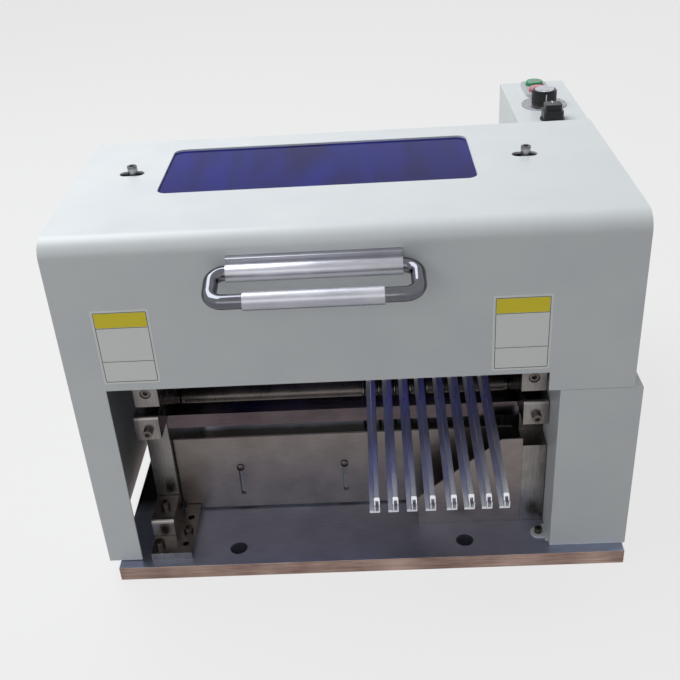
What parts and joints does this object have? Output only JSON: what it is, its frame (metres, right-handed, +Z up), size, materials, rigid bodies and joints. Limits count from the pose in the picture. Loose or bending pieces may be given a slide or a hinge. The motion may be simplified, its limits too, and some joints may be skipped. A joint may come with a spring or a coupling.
{
  "type": "multi-blade board separator",
  "caption": "Bench-top motor-driven multi-blade separator for scored circuit boards, with hinged hood, tinted window, outfeed guide rails and side control housing.",
  "frame": {"origin": "centre of the base plate's underside", "axes": "+Z up, +X to the control housing's side, -Y to the outfeed side with the guide rails, where the hood's handle is"},
  "size_m": [0.5288, 0.5251, 0.386],
  "materials": {
    "ground_steel_plate": "ground, oiled steel",
    "plated_steel": "nickel plated, machined",
    "polished_steel": "polished",
    "brushed_stainless": "brushed stainless sheet",
    "clear_anodised_aluminium": "clear anodised",
    "brushed_aluminium": "brushed and anodised",
    "grey_powder_coat": "light grey powder coat, fine texture",
    "chrome_plate": "mirror chrome",
    "blue_acrylic": "tinted clear acrylic, polished",
    "tool_steel": "ground tool steel",
    "bearing_steel": "turned",
    "blackened_steel": "black oxide",
    "black_plastic": "moulded, matte",
    "green_plastic": "moulded, glossy",
    "red_plastic": "moulded, glossy",
    "belt_rubber": "moulded rubber",
    "motor_enamel": "dark enamel on cast aluminium"
  },
  "bodies": {
    "frame": {"base_plate": "ground_steel_plate", "left_side_plate": "plated_steel", "right_side_plate": "plated_steel", "left_foot_plate": "plated_steel", "left_foot_block": "plated_steel", "crossbar_brackets": "plated_steel", "front_crossbar": "polished_steel", "guide_rails": "clear_anodised_aluminium", "rail_screws": "blackened_steel", "guard_posts": "plated_steel", "guard_screws": "polished_steel", "discharge_baffle": "brushed_stainless", "right_housing": "grey_powder_coat", "housing_rear_cover": "grey_powder_coat", "rear_panel": "grey_powder_coat", "hinge_fixed_leaves": "polished_steel", "hinge_pins": "bearing_steel", "guide_pillars": "polished_steel", "pillar_springs": "blackened_steel", "top_bridges": "plated_steel", "lower_bearings": "bearing_steel", "lock_nuts": "polished_steel", "gear_motor": "motor_enamel", "motor_bracket": "plated_steel", "drive_belt": "belt_rubber", "infeed_table": "brushed_stainless", "infeed_fences": "clear_anodised_aluminium", "frame_screws": "blackened_steel", "scale_plate": "brushed_aluminium", "selector_bezel": "black_plastic", "button_bezel": "black_plastic", "power_inlet": "black_plastic"},
    "hood": {"hood_shell": "grey_powder_coat", "hood_window": "blue_acrylic", "handle_rail": "brushed_aluminium", "handle_ends": "chrome_plate", "handle_grip": "brushed_aluminium", "hinge_moving_leaves": "polished_steel"},
    "carriage": {"upper_block_left": "plated_steel", "upper_block_right": "plated_steel", "carriage_tie_bar": "plated_steel", "upper_bearings": "bearing_steel", "block_screws": "blackened_steel"},
    "adjuster_left": {"adjusting_screw_left": "polished_steel"},
    "adjuster_right": {"adjusting_screw_right": "polished_steel"},
    "lower_rotor": {"lower_shaft": "bearing_steel", "lower_blades": "tool_steel", "lower_spacers": "bearing_steel", "lower_gear": "bearing_steel", "shaft_pulley": "clear_anodised_aluminium"},
    "upper_rotor": {"upper_shaft": "bearing_steel", "upper_blades": "tool_steel", "upper_spacers": "bearing_steel", "upper_gear": "bearing_steel"},
    "motor_rotor": {"motor_pulley": "clear_anodised_aluminium"},
    "guard": {"guard_plate": "brushed_stainless"},
    "knob": {"speed_knob": "black_plastic"},
    "selector": {"selector_knob": "black_plastic"},
    "start_button": {"green_button": "green_plastic"},
    "stop_button": {"red_button": "red_plastic"}
  },
  "joints": [
    {"name": "hood_hinge", "type": "hinge", "parent": "frame", "child": "hood", "pos_m": [0, 0.035, 0.373], "axis": [-1, 0, 0], "range_deg": [0, 80]},
    {"name": "carriage_slide", "type": "slide", "parent": "frame", "child": "carriage", "axis": [0, 0, 1], "range_m": [0, 0.004], "deforming": ["pillar_springs"]},
    {"name": "adjuster_left_turn", "type": "hinge", "parent": "frame", "child": "adjuster_left", "pos_m": [-0.21475, -0.062, 0.356], "axis": [0, 0, -1], "range_deg": [0, 961]},
    {"name": "adjuster_right_turn", "type": "hinge", "parent": "frame", "child": "adjuster_right", "pos_m": [0.16925, -0.062, 0.356], "axis": [0, 0, -1], "range_deg": [0, 961]},
    {"name": "lower_shaft_spin", "type": "hinge", "parent": "frame", "child": "lower_rotor", "pos_m": [-0.00875, -0.061, 0.11], "axis": [1, 0, 0], "continuous": true},
    {"name": "upper_shaft_spin", "type": "hinge", "parent": "carriage", "child": "upper_rotor", "pos_m": [-0.00875, -0.061, 0.201], "axis": [1, 0, 0], "continuous": true},
    {"name": "motor_spin", "type": "hinge", "parent": "frame", "child": "motor_rotor", "pos_m": [0.21125, 0.126, 0.078], "axis": [1, 0, 0], "continuous": true},
    {"name": "guard_slide", "type": "slide", "parent": "frame", "child": "guard", "axis": [0, 0, 1], "range_m": [0, 0.015]},
    {"name": "speed_knob_turn", "type": "hinge", "parent": "frame", "child": "knob", "pos_m": [0.222, 0.138, 0.366], "axis": [0, 0, -1], "range_deg": [0, 300]},
    {"name": "selector_turn", "type": "hinge", "parent": "frame", "child": "selector", "pos_m": [0.222, 0.084, 0.366], "axis": [0, 0, -1], "range_deg": [0, 90]},
    {"name": "start_press", "type": "slide", "parent": "frame", "child": "start_button", "axis": [0, 0, -1], "range_m": [0, 0.0025], "stiffness_N_per_m": 600, "springref_m": -0.002},
    {"name": "stop_press", "type": "slide", "parent": "frame", "child": "stop_button", "axis": [0, 0, -1], "range_m": [0, 0.0025], "stiffness_N_per_m": 600, "springref_m": -0.002}
  ],
  "couplings": [
    {"joint": "upper_shaft_spin", "follows": "lower_shaft_spin", "ratio": -1},
    {"joint": "motor_spin", "follows": "lower_shaft_spin", "ratio": 1.6667},
    {"joint": "adjuster_left_turn", "follows": "carriage_slide", "rad_per_m": 4188.8},
    {"joint": "adjuster_right_turn", "follows": "carriage_slide", "rad_per_m": 4188.8}
  ]
}
